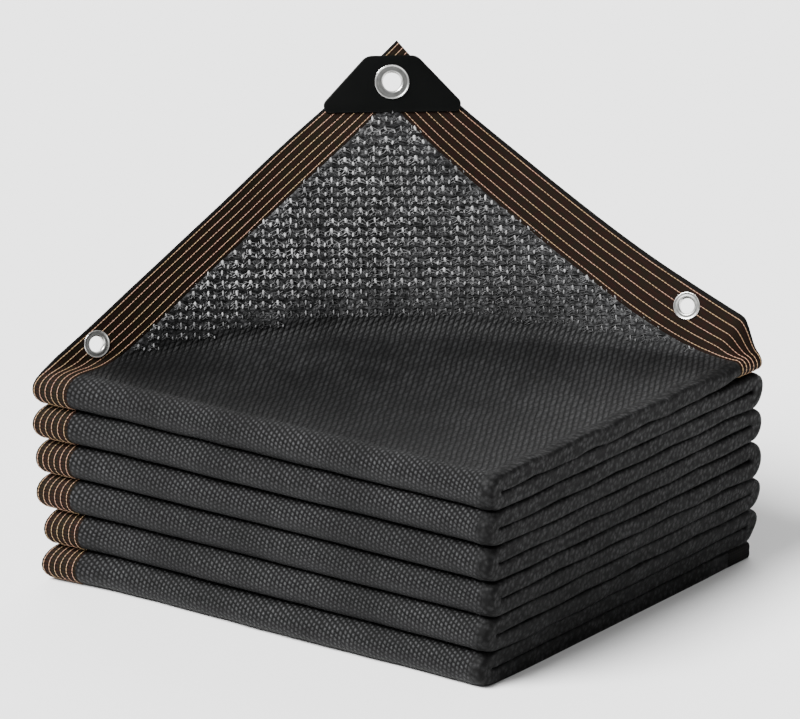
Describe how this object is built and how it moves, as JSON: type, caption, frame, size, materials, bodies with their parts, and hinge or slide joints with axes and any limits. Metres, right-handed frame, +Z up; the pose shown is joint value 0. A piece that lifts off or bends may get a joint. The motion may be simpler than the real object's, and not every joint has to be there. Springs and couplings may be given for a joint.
{
  "type": "folded shade cloth",
  "caption": "Knitted shade cloth folded back and forth into a square stack, its bound corner with plastic plate and metal eyelets standing up behind.",
  "frame": {"origin": "middle of the stack's underside, on the surface it rests on", "axes": "+X along the front face to the right, +Y from the front to the back, +Z up; the standing corner is at -X +Y"},
  "size_m": [0.446, 0.3836, 0.4012],
  "materials": {
    "knit": "black knitted polyethylene tape and thread, slightly glossy",
    "binding": "dark brown-black woven tape with tan stitching",
    "plate": "satin moulded plastic",
    "metal": "bright plated eyelet metal"
  },
  "bodies": {
    "root": {"top_cloth": "knit", "knitted_cloth": "knit", "flap_side_binding": "binding", "stack_side_binding": "binding", "inner_side_binding": "binding", "top_end_binding": "binding", "bottom_end_binding": "binding", "corner_plate": "plate", "corner_eyelet": "metal", "left_eyelet": "metal", "right_eyelet": "metal"}
  },
  "joints": []
}
